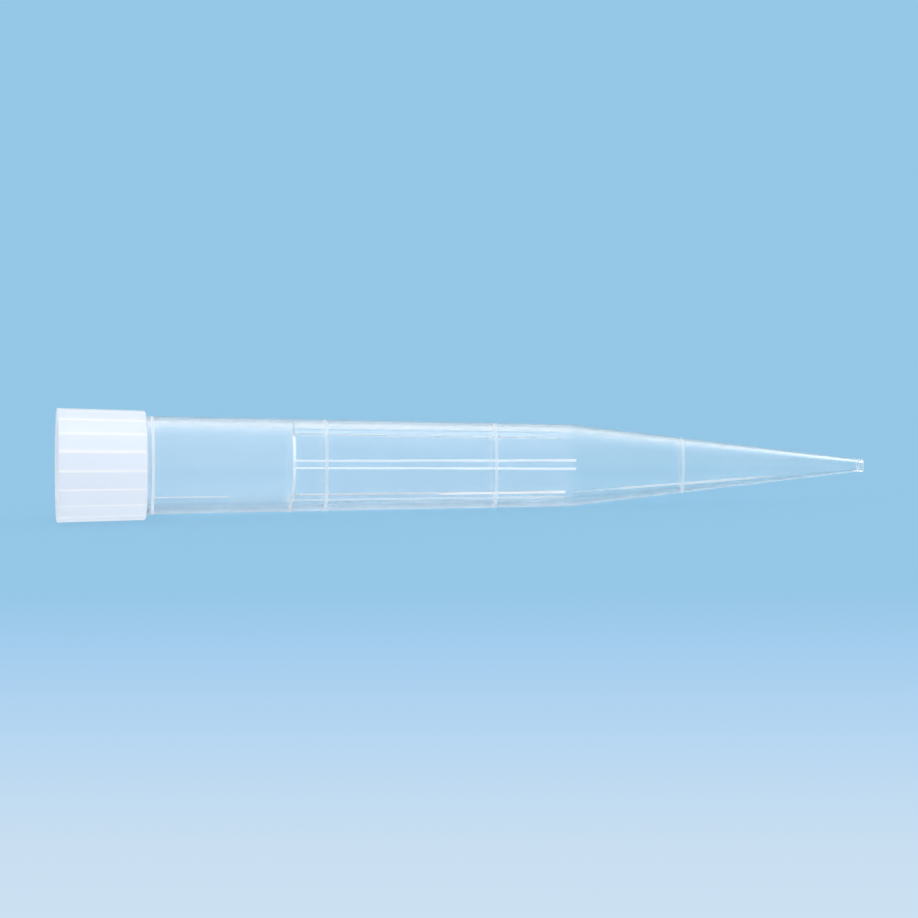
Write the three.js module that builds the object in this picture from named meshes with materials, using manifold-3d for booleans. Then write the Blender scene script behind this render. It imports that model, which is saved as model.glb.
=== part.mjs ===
// Pipette tip for volumes up to 1000 microlitres, moulded in one shot from natural
// polypropylene. It has an 18-sided collar, a tapered barrel with a step and seven
// draining ribs inside, three raised graduation rings, a long cone and a short nose.
// It lies on its side, as a loose tip comes to rest: on one flat of the collar and on
// the shoulder where the barrel turns into the cone. Millimetres, +Z up, +X towards
// the nose, origin under the middle of the tip on the surface that it lies on.

import * as THREE from 'three';
import { mergeVertices } from 'three/addons/utils/BufferGeometryUtils.js';
import Module from 'manifold-3d';

// Stations along the tip's axis are counted from the face of the mouth.
const LENGTH = 71.1;
const ROUND_SIDES = 60;

const COLLAR_SIDES = 18;
const COLLAR_LENGTH = 7.8;
const COLLAR_MOUTH_R = 5.06; // over the corners
const COLLAR_REAR_R = 4.83; // over the corners
const COLLAR_MOUTH_BREAK = 0.08;
const COLLAR_REAR_ROUND = 0.18;

const NECK_R = 4.34;
const NECK_END = 8.2;
const BARREL_START = 8.45;
const BARREL_START_R = 4.3;
const SHOULDER = 45.2;
const SHOULDER_R = 3.59;
const NOSE_START = 70.7;
const NOSE_START_R = 0.56;
const NOSE_R = 0.6; // the nose is a small bead
const NOSE_ROUND = 0.12;

const MARKS = [23.55, 38.48, 55.02]; // 1000, 500 and 100 microlitres
const MARK_WIDTH = 0.26;
const MARK_HEIGHT = 0.02;
const MARK_FLANK = 0.06;

const MOUTH_BORE_R = 4.25;
const LEAD_IN = 0.6;
const SEAT_R = 4;
const SEAT_STEP = 5.1;
const SEAT_STEP_DROP = 0.12;
const SEAT_TAPER = 0.0155; // radius lost per millimetre
const STOP = 20.65; // the step that ends the seat
const STOP_DROP = 0.07;
const STOP_SLOPE = 0.17; // length of the sloping face of a step
const BORE_SHOULDER_R = 3.12;
const ORIFICE_R = 0.3;

const RIBS = 7;
const RIB_FIRST_DEG = 7; // above the side that faces -Y
const RIB_START_WIDTH = 0.6;
const RIB_END_WIDTH = 0.7;
const RIB_START_HEIGHT = 0.06;
const RIB_END_HEIGHT = 0.09;
const RIB_END = 44.98;
const RIB_END_SCATTER = 0.5; // the grooves in the core pin differ in length
const RIB_END_PHASE_DEG = 15;
const RIB_END_ROUND = 0.12;
const RIB_ROOT = 0.2; // how far a rib is sunk in the wall

const wasm = await Module();
wasm.setup();

// A closed three.js geometry as a solid.
function solid(geometry) {
  const bare = geometry.clone();
  bare.deleteAttribute('normal');
  bare.deleteAttribute('uv');
  const merged = mergeVertices(bare, 1e-5);
  const index = merged.index.array;
  const kept = [];
  for (let i = 0; i < index.length; i += 3) {
    const [a, b, c] = index.slice(i, i + 3);
    if (a !== b && b !== c && c !== a) kept.push(a, b, c);
  }
  return new wasm.Manifold(new wasm.Mesh({
    numProp: 3,
    vertProperties: new Float32Array(merged.attributes.position.array),
    triVerts: new Uint32Array(kept),
  }));
}

// A solid as a three.js geometry with flat faces.
function geometryOf(manifold) {
  const mesh = manifold.getMesh();
  const geometry = new THREE.BufferGeometry();
  geometry.setAttribute('position', new THREE.BufferAttribute(mesh.vertProperties, 3));
  geometry.setIndex(new THREE.BufferAttribute(mesh.triVerts, 1));
  geometry.computeVertexNormals();
  return geometry;
}

// A solid turned about the tip's axis. The profile lists [station, radius], starting
// and ending on the axis. The lathe turns about Y, so the result is laid along X.
function turned(profile, sides, turnDeg = 0) {
  const points = profile.map(([station, radius]) => new THREE.Vector2(radius, station));
  const lathe = new THREE.LatheGeometry(points, sides, THREE.MathUtils.degToRad(turnDeg));
  return solid(lathe.rotateZ(-Math.PI / 2));
}

// Points of a quarter round between two directions, in degrees, on a station-radius plane.
function quarter(station, radius, size, fromDeg, toDeg, steps) {
  const points = [];
  for (let i = 0; i <= steps; i += 1) {
    const turn = THREE.MathUtils.degToRad(fromDeg + ((toDeg - fromDeg) * i) / steps);
    points.push([station + size * Math.cos(turn), radius + size * Math.sin(turn)]);
  }
  return points;
}

// Outer radius of the barrel and the cone at a station, without the rings.
function outerRadius(station) {
  return station < SHOULDER
    ? THREE.MathUtils.mapLinear(station, BARREL_START, SHOULDER, BARREL_START_R, SHOULDER_R)
    : THREE.MathUtils.mapLinear(station, SHOULDER, NOSE_START, SHOULDER_R, NOSE_START_R);
}

// Radius of the bore beyond the stop, down to the shoulder.
const SEAT_END_R = SEAT_R - SEAT_STEP_DROP - SEAT_TAPER * STOP;
const BORE_START_R = SEAT_END_R - STOP_DROP;
function boreRadius(station) {
  return THREE.MathUtils.mapLinear(station, STOP, SHOULDER, BORE_START_R, BORE_SHOULDER_R);
}

// A low raised ring of the outer profile.
function ring(station) {
  const half = MARK_WIDTH / 2;
  return [
    [station - half, outerRadius(station - half)],
    [station - half + MARK_FLANK, outerRadius(station) + MARK_HEIGHT],
    [station + half - MARK_FLANK, outerRadius(station) + MARK_HEIGHT],
    [station + half, outerRadius(station + half)],
  ];
}

function collar() {
  const roundAt = [COLLAR_LENGTH - COLLAR_REAR_ROUND, COLLAR_REAR_R - COLLAR_REAR_ROUND];
  const profile = [
    [0, 0],
    [0, COLLAR_MOUTH_R - COLLAR_MOUTH_BREAK],
    [COLLAR_MOUTH_BREAK, COLLAR_MOUTH_R],
    ...quarter(...roundAt, COLLAR_REAR_ROUND, 90, 0, 3),
    [COLLAR_LENGTH, 0],
  ];
  return turned(profile, COLLAR_SIDES, 180 / COLLAR_SIDES);
}

function stem() {
  const [first, second, third] = MARKS;
  const profile = [
    [COLLAR_LENGTH / 2, 0],
    [COLLAR_LENGTH / 2, NECK_R],
    [NECK_END, NECK_R],
    [BARREL_START, BARREL_START_R],
    ...ring(first),
    ...ring(second),
    [SHOULDER, SHOULDER_R],
    ...ring(third),
    [NOSE_START, NOSE_START_R],
    [NOSE_START, NOSE_R],
    ...quarter(LENGTH - NOSE_ROUND, NOSE_R - NOSE_ROUND, NOSE_ROUND, 90, 0, 3),
    [LENGTH, 0],
  ];
  return turned(profile, ROUND_SIDES);
}

function bore() {
  const past = 1;
  const seatEnd = STOP - STOP_SLOPE;
  const profile = [
    [-past, 0],
    [-past, MOUTH_BORE_R],
    [0, MOUTH_BORE_R],
    [LEAD_IN, SEAT_R],
    [SEAT_STEP, SEAT_R - SEAT_TAPER * SEAT_STEP],
    [SEAT_STEP + STOP_SLOPE, SEAT_R - SEAT_TAPER * SEAT_STEP - SEAT_STEP_DROP],
    [seatEnd, SEAT_END_R],
    [STOP, BORE_START_R],
    [SHOULDER, BORE_SHOULDER_R],
    [LENGTH, ORIFICE_R],
    [LENGTH + past, ORIFICE_R],
    [LENGTH + past, 0],
  ];
  return turned(profile, ROUND_SIDES);
}

// One rib: its long section is an outline on the station-radius plane with a rounded
// end, given a thickness across that grows towards the nose, as the core pin's draft needs.
function rib(turnDeg) {
  const phase = THREE.MathUtils.degToRad(3 * turnDeg + RIB_END_PHASE_DEG);
  const end = RIB_END + RIB_END_SCATTER * Math.cos(phase);
  const crestEnd = boreRadius(end) - RIB_END_HEIGHT;
  const outline = new THREE.Shape();
  outline.moveTo(STOP - STOP_SLOPE, BORE_START_R + RIB_ROOT / 2);
  outline.lineTo(STOP, BORE_START_R - RIB_START_HEIGHT);
  outline.lineTo(end - RIB_END_ROUND, crestEnd);
  outline.quadraticCurveTo(end, crestEnd, end, crestEnd + RIB_END_ROUND);
  outline.lineTo(end, boreRadius(end) + RIB_ROOT);
  outline.lineTo(STOP, BORE_START_R + RIB_ROOT);
  const settings = { depth: 1, bevelEnabled: false, curveSegments: 3 };
  const flat = new THREE.ExtrudeGeometry(outline, settings);
  flat.translate(0, 0, -0.5);
  const at = flat.attributes.position;
  for (let i = 0; i < at.count; i += 1) {
    const width = THREE.MathUtils.mapLinear(at.getX(i), STOP, end, RIB_START_WIDTH, RIB_END_WIDTH);
    at.setZ(i, at.getZ(i) * width);
  }
  // Radius runs along Y here: turned to point at -Y, then up by its angle.
  flat.rotateX(Math.PI - THREE.MathUtils.degToRad(RIB_FIRST_DEG + turnDeg));
  return solid(flat);
}

function tipSolid() {
  let tip = stem().add(collar()).subtract(bore());
  for (let i = 0; i < RIBS; i += 1) tip = tip.add(rib((360 / RIBS) * i));
  return tip;
}

const polypropylene = new THREE.MeshStandardMaterial({
  color: 0xe9f3fa,
  roughness: 0.4,
  metalness: 0,
  transparent: true,
  opacity: 0.5,
});
polypropylene.name = 'natural_polypropylene';

const tip = new THREE.Mesh(geometryOf(tipSolid()), polypropylene);
tip.name = 'pipette_tip';

// The lying tip touches the surface with the rear edge of a collar flat and with the
// shoulder, so its axis sinks towards the nose.
const flatR = COLLAR_REAR_R * Math.cos(Math.PI / COLLAR_SIDES);
const restStation = COLLAR_LENGTH - COLLAR_REAR_ROUND;
tip.rotation.y = Math.atan2(flatR - SHOULDER_R, SHOULDER - restStation);

const group = new THREE.Group();
group.add(tip);
const box = new THREE.Box3().setFromObject(group, true);
tip.position.set(-(box.min.x + box.max.x) / 2, -(box.min.y + box.max.y) / 2, -box.min.z);

export default group;
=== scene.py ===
import bpy
import numpy as np
from mathutils import Matrix, Vector


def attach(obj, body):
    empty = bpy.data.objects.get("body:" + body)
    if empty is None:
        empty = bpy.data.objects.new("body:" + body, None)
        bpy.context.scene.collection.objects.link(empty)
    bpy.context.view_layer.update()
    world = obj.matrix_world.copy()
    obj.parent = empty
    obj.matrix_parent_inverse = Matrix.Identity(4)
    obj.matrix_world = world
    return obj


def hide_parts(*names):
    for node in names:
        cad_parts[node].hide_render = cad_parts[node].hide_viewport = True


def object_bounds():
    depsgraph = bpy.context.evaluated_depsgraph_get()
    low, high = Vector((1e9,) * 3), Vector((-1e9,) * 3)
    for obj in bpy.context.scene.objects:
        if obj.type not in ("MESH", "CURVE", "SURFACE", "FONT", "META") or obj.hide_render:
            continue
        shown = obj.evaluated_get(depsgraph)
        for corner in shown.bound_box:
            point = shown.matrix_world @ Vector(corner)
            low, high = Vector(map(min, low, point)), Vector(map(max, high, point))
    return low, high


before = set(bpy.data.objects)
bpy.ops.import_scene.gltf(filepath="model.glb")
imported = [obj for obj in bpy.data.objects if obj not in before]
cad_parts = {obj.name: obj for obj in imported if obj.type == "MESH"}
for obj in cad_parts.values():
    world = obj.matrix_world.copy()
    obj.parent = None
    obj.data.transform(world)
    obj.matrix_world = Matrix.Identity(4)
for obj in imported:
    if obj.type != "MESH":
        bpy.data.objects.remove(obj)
cad_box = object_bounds()

# ---------------------------------------------------------------------------
# The tip: one injection moulding of natural polypropylene, with an 18-sided
# collar, a thin tapered barrel with inner ribs, a cone and a blunt nose. Its
# outside, inside and both ends are one closed skin, turned about one axis.
# ---------------------------------------------------------------------------

# Sizes in millimetres. Stations run along the axis from the face of the mouth, and
# angles are counted up from the side that faces -Y. The length and the mouth stay a
# micrometre inside the CAD tip.
MILLIMETRES = 1000  # in a metre
LENGTH = 71.099
COLLAR_LENGTH, COLLAR_MOUTH_R, COLLAR_REAR_R = 7.8, 5.059, 4.83
COLLAR_SIDES, COLLAR_CORNER_ROUND = 18, 0.86
COLLAR_MOUTH_BREAK, COLLAR_REAR_ROUND, THICK_END = 0.08, 0.18, 7.6
NECK_R, NECK_STEP, BARREL_START, BARREL_START_R = 4.34, 8.2, 8.45, 4.3
SHOULDER, SHOULDER_R, NOSE_START, NOSE_START_R = 45.2, 3.59, 70.7, 0.52
NOSE_R, NOSE_ROUND, ORIFICE_R, ORIFICE_ROUND = 0.57, 0.12, 0.3, 0.06
# The nose is a small bead: how far its back edge drops and slopes, and how deep the painted
# highlight ring on its face reaches.
BEAD_DROP, BEAD_SLOPE, BEAD_FACE = 0.02, 0.03, 0.04
MARKS, MARK_WIDTH, MARK_HEIGHT = (23.55, 38.48, 55.02), 0.26, 0.005
MOUTH_BORE_R, MOUTH_BORE_ROUND, LEAD_IN, SEAT_R, SEAT_TAPER = 4.25, 0.05, 0.6, 4.0, 0.0155
SEAT_STEP, SEAT_STEP_DROP, STOP, STOP_DROP, STEP_SLOPE = 5.1, 0.12, 20.65, 0.07, 0.17
BORE_SHOULDER_R = 3.12
RIBS, RIB_FIRST_DEG = 7, 7
RIB_WIDTHS, RIB_FLANKS, RIB_HEIGHTS = (0.6, 0.7), (0.18, 0.26), (0.06, 0.09)
RIB_END, RIB_END_SCATTER, RIB_END_PHASE, RIB_END_SLOPE = 44.98, 0.5, 0.26, 0.5
# The stop bows towards the mouth on the underside, by this much over this length.
STOP_BOW, STOP_BOW_REACH = 0.3, 2
# Stations in a plain span, closest stations outside and inside, and the least gap as
# a share of those. Rows of points across the mouth's face.
SPAN_STATIONS, FINE_OUTSIDE, FINE_INSIDE, LEAST_GAP = 7, 0.05, 0.04, 0.45
MOUTH_ROWS = 4
# Where the close stations at the neck's slope and at a step's slope are centred, counted
# from their starts, and the stations that split the plain bore.
NECK_MIDDLE, STEP_MIDDLE, BORE_SPLITS = 0.17, 0.08, (30, 55, 70.5)
# Degrees from one plain angle to the next, and the least gap. How far to each side of
# a collar's corner and of a rib's middle the close angles reach, and how many they are.
EVEN_TURN, FINE_TURN = 4.0, 0.14
CORNER_REACH, CORNER_ANGLES, FLANK_REACH, FLANK_ANGLES = 1.8, 5, (3.3, 8.9), 15

# The finishes: the barrel's wall, the cone's thinner wall, the thick collar, faint lines, matte
# lines, the ridges between the collar's flats, the flanks of the ribs. The last three, and the
# faint lines away from the marks, are white lines of painted highlight.
WALL, THIN, THICK, FAINT, MATTE_HIGHLIGHT, BRIGHT_HIGHLIGHT, GLOSSY_HIGHLIGHT = range(7)
# Painted highlight lines are left off above the first height, where the broad highlight along the
# top hides them, and the painted highlight on a collar's ridge is narrower below the second, where
# less light falls, both as shares of the radius. Half widths of a ridge's painted highlight in
# degrees.
UPPER, UNDERSIDE, BRIGHT_HIGHLIGHT_HALVES = 0.75, -0.2, (1.25, 0.5)
# How far from half height a flank's finish reaches, as a share of the rib's height, and
# how far from its middle the stop's line reaches, as a share of the stop's slope.
FLANK_LINE, STOP_LINE = 0.45, 0.6
# A painted highlight along the underside, where a bright line runs low on the barrel and the cone:
# degrees, half its width in degrees, its first and last station, finish. Its finish changes from
# stretch to stretch, so it shows brighter in some places.
UNDERSIDE_GLINT = ((-35.5, 1.1, 8.45, 15.2, GLOSSY_HIGHLIGHT), (-33.6, 1.8, 21.2, 33.5, FAINT),
        (-35.0, 2.4, 33.5, 44.6, BRIGHT_HIGHLIGHT), (-35.5, 2.2, 45.4, 49.5, FAINT),
        (-35.5, 4.0, 49.5, 55.0, GLOSSY_HIGHLIGHT), (-36.0, 6.5, 55.0, 61.5, GLOSSY_HIGHLIGHT),
        (-36.0, 6.5, 61.5, 63.0, FAINT))
GLINT_CORE = 0.6  # share of its width that has the finish outright


def ease(x):
    """Smooth step from 0 at x <= 0 to 1 at x >= 1, flat at both ends."""
    x = np.clip(x, 0, 1)
    return x * x * (3 - 2 * x)


def line(x, x0, x1, y0, y1):
    """Straight line through (x0, y0) and (x1, y1)."""
    return y0 + (x - x0) * (y1 - y0) / (x1 - x0)


def outer_radius(a):
    """Barrel taper, then cone taper, plus the neck's step, plus a low rounded ridge at
    each mark, flat for a third of its width."""
    barrel = line(a, BARREL_START, SHOULDER, BARREL_START_R, SHOULDER_R)
    cone = line(a, SHOULDER, NOSE_START, SHOULDER_R, NOSE_START_R)
    neck = (NECK_R - BARREL_START_R) * (1 - ease((a - NECK_STEP) / (BARREL_START - NECK_STEP)))
    ridges = sum(ease(1.5 - 3 * abs(a - mark) / MARK_WIDTH) for mark in MARKS)
    return np.minimum(barrel, cone) + neck * (a < BARREL_START) + MARK_HEIGHT * ridges


def bore_radius(a):
    """Lead-in cone, seat with a step, the stop, the bore's taper and its cone: the
    larger of lead-in and seat up to the stop, the smaller of taper and cone after it."""
    seat = SEAT_R - SEAT_TAPER * a - SEAT_STEP_DROP * ease((a - SEAT_STEP) / STEP_SLOPE)
    lead_in = np.maximum(line(a, 0, LEAD_IN, MOUTH_BORE_R, SEAT_R), seat)
    at_stop = SEAT_R - SEAT_TAPER * STOP - SEAT_STEP_DROP
    bore = line(a, STOP, SHOULDER, at_stop - STOP_DROP, BORE_SHOULDER_R)
    cone = line(a, SHOULDER, LENGTH, BORE_SHOULDER_R, ORIFICE_R)
    past = ease((a - STOP) / STEP_SLOPE)
    return np.minimum(lead_in * (1 - past) + bore * past, np.where(a > SHOULDER, cone, np.inf))


def rib_height(a, angle):
    """Seven flat-topped ribs with sloping flanks, that grow wider and higher
    towards the nose and end each at its own station. Also says where their flanks are."""
    along = np.clip(line(a, STOP, RIB_END, 0, 1), 0, 1)
    height = line(along, 0, 1, *RIB_HEIGHTS) * ease((a - STOP) / STEP_SLOPE)
    half = line(along, 0, 1, *RIB_WIDTHS) / 2
    slope = line(along, 0, 1, *RIB_FLANKS)
    total, flank = 0, False
    for i in range(RIBS):
        turn = 2 * np.pi * i / RIBS
        off = np.angle(np.exp(1j * (angle - turn - np.radians(RIB_FIRST_DEG))))
        across = abs(off) * bore_radius(a)
        end = RIB_END + RIB_END_SCATTER * np.cos(3 * turn + RIB_END_PHASE)
        top = ease((half + slope / 2 - across) / slope)
        total = total + top * ease((end - a) / RIB_END_SLOPE)
        on_flank = abs(top - 0.5) < FLANK_LINE
        flank = flank | (on_flank & (a > STOP + STEP_SLOPE) & (a < end))
    return height * total, flank


def collar_shape(angle):
    """Radius of a regular polygon of corner radius 1 with rounded corners: a flat
    is its inradius over the cosine, a corner is an arc about a point inside."""
    half = np.pi / COLLAR_SIDES
    size = (COLLAR_MOUTH_R + COLLAR_REAR_R) / 2
    inradius, round_r = np.cos(half), COLLAR_CORNER_ROUND / size
    centre = (inradius - round_r) / np.cos(half)
    from_flat = np.mod(angle + np.pi / 2, 2 * half)
    from_flat = np.minimum(from_flat, 2 * half - from_flat)
    from_corner = half - from_flat
    arc = centre * np.cos(from_corner) + np.sqrt(round_r**2 - (centre * np.sin(from_corner)) ** 2)
    touch = np.arctan((inradius - round_r) * np.tan(half) / inradius)
    return np.where(from_flat < touch, inradius / np.cos(from_flat), arc)


def quarter(centre_a, centre_r, size, from_deg, to_deg, count):
    """Points of an arc of a circle on the station-radius plane."""
    turn = np.radians(np.linspace(from_deg, to_deg, count))
    return np.stack([centre_a + size * np.cos(turn), centre_r + size * np.sin(turn)], 1)


def stations(edges, fine, fine_step):
    """Stations from the first edge to the last: evenly spaced ones in each span, and
    close ones round each (place, count) in fine, less those that are too close."""
    spans = [np.linspace(*span, SPAN_STATIONS) for span in zip(edges[:-1], edges[1:])]
    close = [p + fine_step * np.arange(-n, n + 1) for p, n in fine]
    every = np.concatenate(spans + close)
    every = np.unique(np.round(every, 4))
    every = every[(every >= edges[0]) & (every <= edges[-1])]
    return every[np.concatenate([[True], np.diff(every) > fine_step * LEAST_GAP])]


def rows(points, polygon, ribs, finish):
    """Rows of station, radius, share of the polygon, share of the ribs, finish."""
    columns = [np.broadcast_to(c, len(points)) for c in (polygon, ribs, finish)]
    return np.column_stack([points] + columns)


def near(a, places, reach):
    """True where a is within reach of one of the places."""
    return (abs(a[:, None] - np.array(places)[None]) < reach).any(1)


def tip_profile():
    """The closed outline: mouth face, collar, rear face, barrel, cone, nose, bore."""
    mouth_r = np.linspace(MOUTH_BORE_R + MOUTH_BORE_ROUND, COLLAR_MOUTH_R - COLLAR_MOUTH_BREAK,
                          MOUTH_ROWS)
    mouth = np.stack([np.zeros(MOUTH_ROWS), mouth_r], 1)
    mouth_edge = quarter(COLLAR_MOUTH_BREAK, COLLAR_MOUTH_R - COLLAR_MOUTH_BREAK,
                         COLLAR_MOUTH_BREAK, 180, 90, 5)[1:]
    rear_edge = quarter(COLLAR_LENGTH - COLLAR_REAR_ROUND, COLLAR_REAR_R - COLLAR_REAR_ROUND,
                        COLLAR_REAR_ROUND, 90, 0, 8)
    wall_a = np.linspace(COLLAR_MOUTH_BREAK, COLLAR_LENGTH - COLLAR_REAR_ROUND, 10)[1:-1]
    wall_r = line(wall_a, COLLAR_MOUTH_BREAK, COLLAR_LENGTH - COLLAR_REAR_ROUND,
                  COLLAR_MOUTH_R, COLLAR_REAR_R)
    collar = np.concatenate([mouth, mouth_edge, np.stack([wall_a, wall_r], 1), rear_edge])
    share = np.concatenate([np.linspace(0, 1, MOUTH_ROWS), np.ones(len(collar) - MOUTH_ROWS)])
    collar = rows(collar, share, 0, THICK)

    fine = [(NECK_STEP + NECK_MIDDLE, 4), (SHOULDER, 3)] + [(mark, 5) for mark in MARKS]
    edges = {COLLAR_LENGTH, NECK_STEP, SHOULDER, NOSE_START - FINE_OUTSIDE}
    edges = edges | {edge for glint in UNDERSIDE_GLINT for edge in glint[2:4]}
    a = stations(sorted(edges), fine, FINE_OUTSIDE)
    finish = np.where(near(a, MARKS, MARK_WIDTH / 2), FAINT, np.where(a > SHOULDER, THIN, WALL))
    # The neck's step gets a matte white line of painted highlight.
    finish = np.where((a > NECK_STEP) & (a < BARREL_START), MATTE_HIGHLIGHT, finish)
    outside = rows(np.column_stack([a, outer_radius(a)]), 0, 0, finish)
    nose = np.concatenate([
        [[NOSE_START, NOSE_R - BEAD_DROP], [NOSE_START + BEAD_SLOPE, NOSE_R],
         [NOSE_START + 2 * FINE_OUTSIDE, NOSE_R]],
        quarter(LENGTH - NOSE_ROUND, NOSE_R - NOSE_ROUND, NOSE_ROUND, 90, 0, 6),
        quarter(LENGTH - ORIFICE_ROUND, ORIFICE_R + ORIFICE_ROUND, ORIFICE_ROUND, 0, -90, 5),
    ])
    # The nose's face gets a bright ring and its bead's back edge a matte line, both painted
    # highlight.
    finish = np.where(nose[:, 0] > LENGTH - BEAD_FACE, BRIGHT_HIGHLIGHT, THIN)
    finish = np.where(nose[:, 0] < NOSE_START + BEAD_SLOPE, MATTE_HIGHLIGHT, finish)
    nose = rows(nose, 0, 0, finish)

    fine = [(LEAD_IN, 2), (SEAT_STEP + STEP_MIDDLE, 4), (STOP + STEP_MIDDLE, 5), (RIB_END, 14),
            (SHOULDER, 4)]
    edges = (MOUTH_BORE_ROUND, LEAD_IN, SEAT_STEP, THICK_END, STOP, SHOULDER) + BORE_SPLITS
    a = stations(sorted(edges), fine, FINE_INSIDE)[::-1]
    finish = np.where(a < THICK_END, THICK, np.where(a > SHOULDER, THIN, WALL))
    # The middle of the stop's slope gets a matte white line of painted highlight.
    finish = np.where(near(a, [STOP + STEP_SLOPE / 2], STEP_SLOPE * STOP_LINE), MATTE_HIGHLIGHT, finish)
    inside = rows(np.column_stack([a, bore_radius(a)]), 0, 1, finish)
    lip = quarter(MOUTH_BORE_ROUND, MOUTH_BORE_R + MOUTH_BORE_ROUND, MOUTH_BORE_ROUND, 270, 180, 4)
    return np.concatenate([collar, outside, nose, inside, rows(lip[:-1], 0, 0, THICK)])


def tip_angles():
    """Angles round the axis: evenly spaced ones, with close ones across each corner of the collar,
    each flank of a rib and each stretch of the painted highlight along the underside."""
    even = np.arange(0, 360, EVEN_TURN)
    corners = 360 / COLLAR_SIDES * np.arange(COLLAR_SIDES)[:, None]
    corners = corners + np.linspace(-CORNER_REACH, CORNER_REACH, CORNER_ANGLES)[None, :]
    flanks = np.linspace(*FLANK_REACH, FLANK_ANGLES)
    flanks = np.concatenate([-flanks[::-1], flanks])
    ribs = RIB_FIRST_DEG + 360 / RIBS * np.arange(RIBS)[:, None] + flanks[None, :]
    glint_angles = [middle + np.linspace(-1, 1, 3) * half for middle, half, *_ in UNDERSIDE_GLINT]
    every = np.concatenate([even, corners.ravel(), ribs.ravel()] + glint_angles)
    every = np.unique(np.round(np.mod(every, 360), 3))
    return np.radians(every[np.concatenate([[True], np.diff(every) > FINE_TURN])])


def closed_grid(name, points, finish):
    """A mesh from a grid of points that closes on itself both ways. A face has the
    highest finish of its four points."""
    n_rows, n_columns = points.shape[:2]
    index = np.arange(n_rows * n_columns).reshape(n_rows, n_columns)
    right, down = np.roll(index, -1, 1), np.roll(index, -1, 0)
    across = np.roll(down, -1, 1)
    faces = np.stack([index, down, across, right], -1).reshape(-1, 4)
    mesh = bpy.data.meshes.new(name)
    mesh.from_pydata(points.reshape(-1, 3).tolist(), [], faces.tolist())
    mesh.shade_smooth()
    piece = bpy.data.objects.new(name, mesh)
    bpy.context.scene.collection.objects.link(piece)
    finish = np.maximum(finish, np.roll(finish, -1, 0))
    finish = np.maximum(finish, np.roll(finish, -1, 1))
    mesh.polygons.foreach_set("material_index", finish.ravel().astype(np.int32))
    return piece


profile, angle = tip_profile(), tip_angles()
station, radius, polygon, ribbed = (profile[:, i, None] for i in range(4))
radius = radius * (1 + polygon * (collar_shape(angle)[None] - 1))
rib, flank = rib_height(station, angle[None])
radius = radius - ribbed * rib
# The ribs' flanks get white lines of painted highlight.
finish = np.where((ribbed > 0) & flank, GLOSSY_HIGHLIGHT, profile[:, 4, None])
# The collar's corners get a painted highlight, a bright white line, narrower on the underside
# where less light falls.
pitch = 360 / COLLAR_SIDES
from_ridge = abs(np.mod(np.degrees(angle) + pitch / 2, pitch) - pitch / 2)[None]
highlight_half = np.where(np.sin(angle) > UNDERSIDE, *BRIGHT_HIGHLIGHT_HALVES)[None]
finish = np.where((polygon == 1) & (from_ridge < highlight_half), BRIGHT_HIGHLIGHT, finish)
# The painted highlight lines on the flanks are left off on the top and at the back; the stop's is
# left off on the top and faint at the back.
upper, behind = (np.sin(angle) > UPPER)[None], (np.cos(angle) < 0)[None]
stop = (finish == MATTE_HIGHLIGHT) & (ribbed > 0)
finish = np.where(stop & behind, FAINT, finish)
finish = np.where(((finish == GLOSSY_HIGHLIGHT) & (upper | behind)) | (stop & upper), WALL, finish)
outside = (polygon == 0) & (ribbed == 0)
# The skin's angles run from 0 to 360 degrees, so the painted highlight along the underside lies
# one turn up from its own angle.
for middle, half, first, last, glint_finish in UNDERSIDE_GLINT:
    on_glint = (abs(np.degrees(angle) - middle - 360) < GLINT_CORE * half)[None]
    on_glint = on_glint & (station > first) & (station < last) & outside & (finish <= THIN)
    finish = np.where(on_glint, glint_finish, finish)
bow = STOP_BOW * ease(1 - abs(station - STOP) / STOP_BOW_REACH)
bow = bow * np.minimum(np.sin(angle), 0)[None] ** 2

# The axis dips towards the nose: the tip lies on a flat of the collar and on the
# shoulder. It starts where the CAD tip's box starts.
flat_r = COLLAR_REAR_R * np.cos(np.pi / COLLAR_SIDES)
rest_station = COLLAR_LENGTH - COLLAR_REAR_ROUND
dip = np.arctan2(flat_r - SHOULDER_R, SHOULDER - rest_station)
up = radius * np.sin(angle)[None]
out = -radius * np.cos(angle)[None]
along = station - ribbed * bow
x = along * np.cos(dip) + up * np.sin(dip)
z = -along * np.sin(dip) + up * np.cos(dip)
low, high = np.array(cad_box[0]) * MILLIMETRES, np.array(cad_box[1]) * MILLIMETRES
start = np.array([(low + high)[0] / 2 - (x.min() + x.max()) / 2, 0, -z.min()])
points = np.stack([x, out, z], -1) + start
tip = closed_grid("moulded_tip", points / MILLIMETRES, finish)


def linear(hex_colour):
    """Linear RGBA of an sRGB hex value."""
    part = [int(hex_colour[i:i + 2], 16) / 255 for i in (1, 3, 5)]
    return [c / 12.92 if c <= 0.04045 else ((c + 0.055) / 1.055) ** 2.4 for c in part] + [1]


def node(tree, kind, links=(), **settings):
    """Adds a node. Settings are its properties, or input values where the name
    is an input's; links are (input, output socket) pairs."""
    made = tree.nodes.new(kind)
    for key, value in settings.items():
        if hasattr(made, key):
            setattr(made, key, value)
        else:
            made.inputs[key.replace("_", " ")].default_value = value
    for key, source in links:
        tree.links.new(source, made.inputs[key])
    return made


# Natural polypropylene: clear melt that turns milky where it is thick, because it sets
# as fine crystals. The mould's steel is polished lengthwise, and the melt flows that
# way, so the skin has long streaks 9 mm by 0.7 mm, half a micrometre deep, under a
# fine grain of 0.2 mm that makes the gloss a little uneven.
STREAKS, STREAK_DEPTH, GRAIN = (0.009, 0.0007, 0.0007), 0.0000005, 0.0002
UNEVEN_RANGE, ROUGHNESS_SPREAD = (0.6, 1.4), 0.02
POLYPROPYLENE_IOR = 1.49


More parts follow.
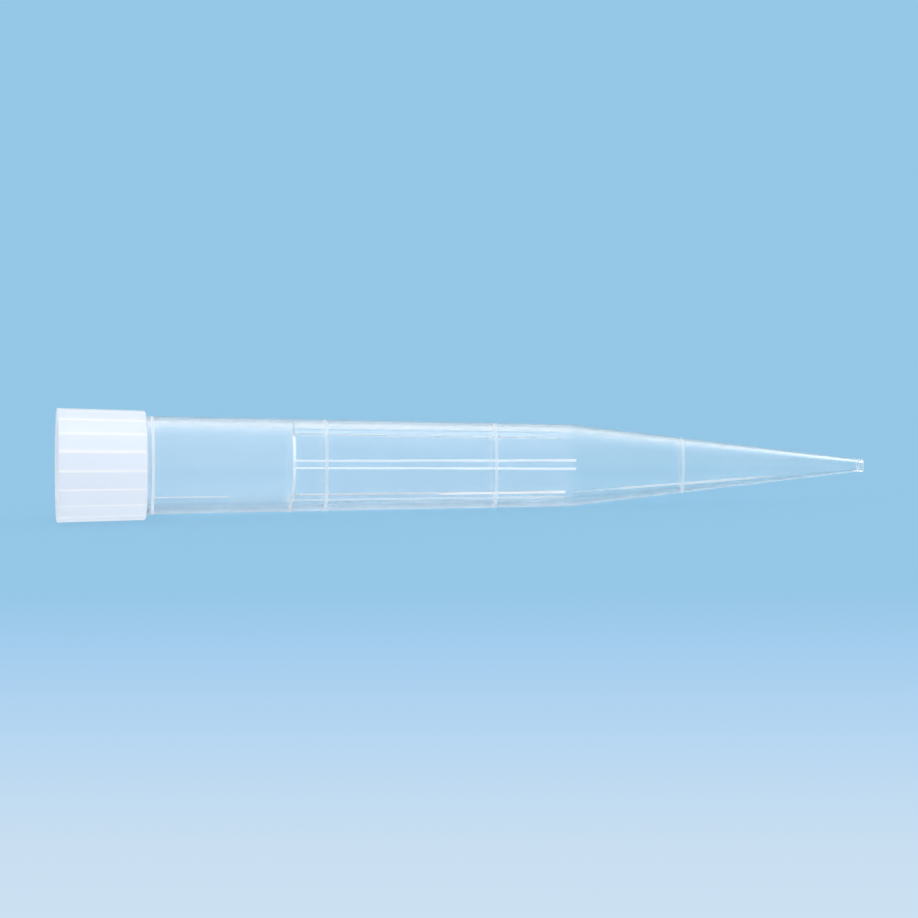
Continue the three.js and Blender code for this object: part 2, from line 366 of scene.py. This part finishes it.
def polypropylene(name, haze, roughness, colour="#FDFEFF"):
    """Polypropylene as moulded. The haze is the share of light that its crystals
    scatter back, and the rest goes through. The roughness rises and falls by its
    spread with streaks plus grain, and the streaks are also the relief."""
    material = bpy.data.materials.new(name)
    material.use_nodes = True
    tree = material.node_tree
    tree.nodes.clear()
    place = node(tree, "ShaderNodeTexCoord").outputs["Object"]
    stretched = node(tree, "ShaderNodeMapping", [("Vector", place)])
    stretched.inputs["Scale"].default_value = [1 / size for size in STREAKS]
    streaks = node(tree, "ShaderNodeTexNoise", [("Vector", stretched.outputs[0])],
                   Scale=1, Detail=2)
    grain = node(tree, "ShaderNodeTexNoise", [("Vector", place)], Scale=1 / GRAIN, Detail=1)
    uneven = node(tree, "ShaderNodeMath",
                  [(0, streaks.outputs["Fac"]), (1, grain.outputs["Fac"])])
    polish = node(tree, "ShaderNodeMapRange", [("Value", uneven.outputs[0])],
                  From_Min=UNEVEN_RANGE[0], From_Max=UNEVEN_RANGE[1],
                  To_Min=roughness - ROUGHNESS_SPREAD, To_Max=roughness + ROUGHNESS_SPREAD)
    relief = node(tree, "ShaderNodeBump", [("Height", streaks.outputs["Fac"])],
                  Distance=STREAK_DEPTH)
    plastic = node(tree, "ShaderNodeBsdfPrincipled",
                   [("Roughness", polish.outputs["Result"]), ("Normal", relief.outputs["Normal"])],
                   Base_Color=linear(colour), IOR=POLYPROPYLENE_IOR, Transmission_Weight=1 - haze)
    node(tree, "ShaderNodeOutputMaterial", [("Surface", plastic.outputs[0])])
    return material


# In the order of the finishes. Moulded thin against polished steel: clear, with soft
# gloss, and the background shows through both walls.
finishes = [polypropylene("moulded_polypropylene_barrel", 0.014, 0.25)]
# The same, thinner still, so clearer and a trace cooler.
finishes.append(polypropylene("moulded_polypropylene_cone", 0.003, 0.25, "#F8FCFD"))
# The same skin on a thick wall, whose crystals make it milky and nearly opaque.
finishes.append(polypropylene("moulded_polypropylene_collar", 0.72, 0.3, "#F0F7FF"))
# Moulded in a shallow groove that was cut and lightly polished: a pale hairline at the marks; the
# same finish also gives fainter stretches of painted highlight.
finishes.append(polypropylene("polypropylene_faint_line_and_highlight", 0.22, 0.3))
# A white matte line of painted highlight, where an edge would catch the light: on the neck's step,
# the stop and the back edge of the nose's bead.
finishes.append(polypropylene("polypropylene_painted_matte_highlight", 0.45, 0.4))
# A bright white line of painted highlight, where a sharp edge would catch the light: on the
# collar's corners, the nose's face and a stretch of the painted highlight along the underside.
finishes.append(polypropylene("polypropylene_painted_bright_highlight", 0.9, 0.35, "#FBFDFF"))
# A white line with some gloss, a painted highlight that stands in for the light that the ribs'
# flanks mirror; also on stretches of the painted highlight along the underside.
finishes.append(polypropylene("polypropylene_painted_glossy_highlight", 0.45, 0.3))
for made in finishes:
    tip.data.materials.append(made)
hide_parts("pipette_tip")
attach(tip, "root")

# ---------------------------------------------------------------------------
# The table: a sheet of graduated background paper, printed blue and fading to pale
# towards the viewer, laid flat under the tip.
# ---------------------------------------------------------------------------
FLOOR_SIZE = 8.0
LAMP_COLOUR = "#FAFCFF"
PAPER_TURN = np.radians(14.6)
PAPER_FADE = (-0.26, -0.06)  # metres along the fade, nearest the viewer first
PAPER_COLOURS = ((0.0, "#CCE1F1"), (0.2, "#C9DEEF"), (0.5, "#B7D6F0"), (0.8, "#A3CCEC"),
                 (1.0, "#95C6E4"))
mesh = bpy.data.meshes.new("floor")
s = FLOOR_SIZE / 2
mesh.from_pydata([(-s, -s, 0), (s, -s, 0), (s, s, 0), (-s, s, 0)], [], [(0, 1, 2, 3)])
floor = bpy.data.objects.new("floor", mesh)
bpy.context.scene.collection.objects.link(floor)


# What the paper gives back to light that the plastic scattered, as a strength of the
# lamp's colour: straight up, and through another wall. What share of it the mirrored
# rays see, and what share of the paper's own light is even, without shadows.
FLOOR_BOUNCE, FLOOR_BOUNCE_THROUGH, MIRRORED_FLOOR, PAPER_GLOW = 1.06, 1.5, 0.5, 0.6


def graduated_paper():
    """Printed matte paper whose colour fades evenly across the table. It looks its own
    colour, soft and without gloss, straight on and through the plastic. The light
    that it throws up on the tip is the lamp's, so the milky parts stay white."""
    material = bpy.data.materials.new("printed_graduated_paper")
    material.use_nodes = True
    tree = material.node_tree
    tree.nodes.clear()
    place = node(tree, "ShaderNodeTexCoord").outputs["Object"]
    across = node(tree, "ShaderNodeVectorMath", [(0, place)], operation="DOT_PRODUCT")
    across.inputs[1].default_value = (np.sin(PAPER_TURN), np.cos(PAPER_TURN), 0)
    fade = node(tree, "ShaderNodeMapRange", [("Value", across.outputs["Value"])],
                From_Min=PAPER_FADE[0], From_Max=PAPER_FADE[1])
    colours = node(tree, "ShaderNodeValToRGB", [("Fac", fade.outputs["Result"])])
    stops = colours.color_ramp.elements
    stops[0].position, stops[0].color = PAPER_COLOURS[0][0], linear(PAPER_COLOURS[0][1])
    stops[1].position, stops[1].color = PAPER_COLOURS[-1][0], linear(PAPER_COLOURS[-1][1])
    for position, colour in PAPER_COLOURS[1:-1]:
        stops.new(position).color = linear(colour)
    path = node(tree, "ShaderNodeLightPath")
    # 1 once the plastic has scattered the light: its depth is then 1 or more.
    turned_back = node(tree, "ShaderNodeMath", [(0, path.outputs["Diffuse Depth"])],
                       operation="GREATER_THAN")
    turned_back.inputs[1].default_value = 0.5
    # Rough plastic counts as glossy too for light that goes through it, so that is taken off.
    mirrored = node(tree, "ShaderNodeMath", [(0, path.outputs["Is Glossy Ray"]),
                                             (1, path.outputs["Is Transmission Ray"])],
                    operation="SUBTRACT")
    white = node(tree, "ShaderNodeMath", [(0, mirrored.outputs[0]), (2, turned_back.outputs[0])],
                 operation="MULTIPLY_ADD")
    white.inputs[1].default_value = MIRRORED_FLOOR
    glow = node(tree, "ShaderNodeMapRange", [("Value", path.outputs["Is Transmission Ray"])],
                To_Min=FLOOR_BOUNCE, To_Max=FLOOR_BOUNCE_THROUGH)
    matte = node(tree, "ShaderNodeBsdfDiffuse", [("Color", colours.outputs["Color"])])
    lit = node(tree, "ShaderNodeEmission", [("Color", colours.outputs["Color"])])
    paper = node(tree, "ShaderNodeMixShader", [(1, matte.outputs[0]), (2, lit.outputs[0])],
                 Fac=PAPER_GLOW)
    bounce = node(tree, "ShaderNodeEmission", [("Strength", glow.outputs["Result"])],
                  Color=linear(LAMP_COLOUR))
    both = node(tree, "ShaderNodeMixShader", [(0, white.outputs[0]), (1, paper.outputs[0]),
                                              (2, bounce.outputs[0])])
    node(tree, "ShaderNodeOutputMaterial", [("Surface", both.outputs[0])])
    material.cycles.emission_sampling = "NONE"
    return material


floor.data.materials.append(graduated_paper())

# ---------------------------------------------------------------------------
# The light: a white studio all round, soft and a little brighter overhead. Through
# the plastic the walls of the studio are blue near the table, as its backdrop is,
# and the big soft lamp overhead shows bright.
# ---------------------------------------------------------------------------
# Degrees up from the back wall and over to the front, colour, brightness. Light that
# no surface has mirrored or scattered finds every wall like the back wall.
SEEN_STUDIO = ((0, "#4494C1", 1.0), (15, "#66BFE6", 1.0), (27, "#E7F6FF", 1.2),
               (42, "#F6FAFF", 1.3), (80, "#F6FAFF", 4.7), (108, "#F6FAFF", 4.8),
               (140, "#F6FAFF", 3.4), (180, "#F6FAFF", 2.5))
STUDIO_CORNER = 0.25  # how softly the back wall turns into the front, as a direction's Y
BACKDROP = "#95C6E4"
MIRRORED_STUDIO = 0.5  # share of the same studio in what the gloss mirrors
STUDIO_LEVELS = 0.74, 1.20  # of the even light, level with the table and overhead
world = bpy.data.worlds.new("studio")
bpy.context.scene.world = world
world.use_nodes = True
tree = world.node_tree
tree.nodes.clear()
toward = node(tree, "ShaderNodeTexCoord").outputs["Generated"]
parts = node(tree, "ShaderNodeSeparateXYZ", [("Vector", toward)])
path = node(tree, "ShaderNodeLightPath")
# A direction's place on the arc comes from its height over its level part. The level
# part gets a soft sign, minus at the front, once a surface has turned the light.
rise = node(tree, "ShaderNodeMath", [(0, parts.outputs["Z"])], operation="ARCSINE")
level = node(tree, "ShaderNodeMath", [(0, rise.outputs[0])], operation="COSINE")
turned = node(tree, "ShaderNodeMath",
              [(0, path.outputs["Glossy Depth"]), (1, path.outputs["Diffuse Depth"])])
side = node(tree, "ShaderNodeMapRange", [("Value", parts.outputs["Y"])],
            From_Min=-STUDIO_CORNER, From_Max=STUDIO_CORNER, To_Min=-1)
sided = node(tree, "ShaderNodeMath", [(0, level.outputs[0]), (1, side.outputs["Result"])],
             operation="MULTIPLY")
reach = node(tree, "ShaderNodeMix", [("Factor", turned.outputs[0]), ("A", level.outputs[0]),
                                     ("B", sided.outputs[0])])
over = node(tree, "ShaderNodeMath", [(0, parts.outputs["Z"]), (1, reach.outputs["Result"])],
            operation="ARCTAN2")
share = node(tree, "ShaderNodeMath", [(0, over.outputs[0])], operation="DIVIDE")
share.inputs[1].default_value = np.pi
studio = node(tree, "ShaderNodeValToRGB", [("Fac", share.outputs[0])])
stops = studio.color_ramp.elements
for place, (degrees, colour, brightness) in enumerate(SEEN_STUDIO):
    stop = stops[place] if place in (0, 1) else stops.new(1)
    stop.position = degrees / 180
    stop.color = [part * brightness for part in linear(colour)[:3]] + [1]
softly = node(tree, "ShaderNodeMapRange", [("Value", parts.outputs["Z"])],
              To_Min=STUDIO_LEVELS[0], To_Max=STUDIO_LEVELS[1])
even = node(tree, "ShaderNodeBackground", [("Strength", softly.outputs["Result"])],
            Color=linear(LAMP_COLOUR))
seen = node(tree, "ShaderNodeBackground", [("Color", studio.outputs["Color"])])
# Light that goes through the plastic sees only that studio, and mirrored light a share.
glossy = node(tree, "ShaderNodeMath", [(0, path.outputs["Is Glossy Ray"])], operation="MULTIPLY")
glossy.inputs[1].default_value = MIRRORED_STUDIO
shown = node(tree, "ShaderNodeMath",
             [(0, glossy.outputs[0]), (1, path.outputs["Is Transmission Ray"])],
             operation="MAXIMUM")
through = node(tree, "ShaderNodeMixShader", [(0, shown.outputs[0]), (1, even.outputs[0]),
                                             (2, seen.outputs[0])])
backdrop = node(tree, "ShaderNodeBackground", Color=linear(BACKDROP))
both = node(tree, "ShaderNodeMixShader", [(0, path.outputs["Is Camera Ray"]),
                                          (1, through.outputs[0]), (2, backdrop.outputs[0])])
node(tree, "ShaderNodeOutputWorld", [("Surface", both.outputs[0])])
world.cycles.sampling_method = "NONE"

# ---------------------------------------------------------------------------
# The camera: a long lens from a little above the table and a little to the mouth's
# side, rolled so that the tip's axis is level.
# ---------------------------------------------------------------------------
VIEW_AZIMUTH, VIEW_ELEVATION, DISTANCE = np.radians(-3.5), np.radians(6.0), 1.2
FRAME_WIDTH, SENSOR_WIDTH, AIM_RAISE = 0.08077, 36, 0.00055
MIDDLE_STATION, FARTHEST_SEEN = 35.4, 50
camera = bpy.data.objects.new("camera", bpy.data.cameras.new("camera"))
bpy.context.scene.collection.objects.link(camera)
bpy.context.scene.camera = camera
toward = np.array([np.sin(VIEW_AZIMUTH) * np.cos(VIEW_ELEVATION),
                   -np.cos(VIEW_AZIMUTH) * np.cos(VIEW_ELEVATION), np.sin(VIEW_ELEVATION)])
axis = np.array([np.cos(dip), 0, -np.sin(dip)])
right = axis - toward * (axis @ toward)
right = right / np.linalg.norm(right)
upward = np.cross(toward, right)
aim = (start + axis * MIDDLE_STATION) / MILLIMETRES + upward * AIM_RAISE
place = aim + toward * DISTANCE
turn = Matrix((right, upward, toward)).transposed().to_4x4()
camera.matrix_world = Matrix.Translation(Vector(place)) @ turn
camera.data.sensor_width = SENSOR_WIDTH
camera.data.lens = SENSOR_WIDTH * DISTANCE / FRAME_WIDTH
camera.data.clip_end = FARTHEST_SEEN

scene = bpy.context.scene
scene.view_settings.view_transform = "Standard"
# Light runs along inside the clear wall for dozens of bounces before it leaves.
CLEAR_BOUNCES, MILKY_BOUNCES = 48, 8
scene.cycles.max_bounces = CLEAR_BOUNCES
scene.cycles.transmission_bounces = CLEAR_BOUNCES
scene.cycles.glossy_bounces = CLEAR_BOUNCES
scene.cycles.diffuse_bounces = MILKY_BOUNCES
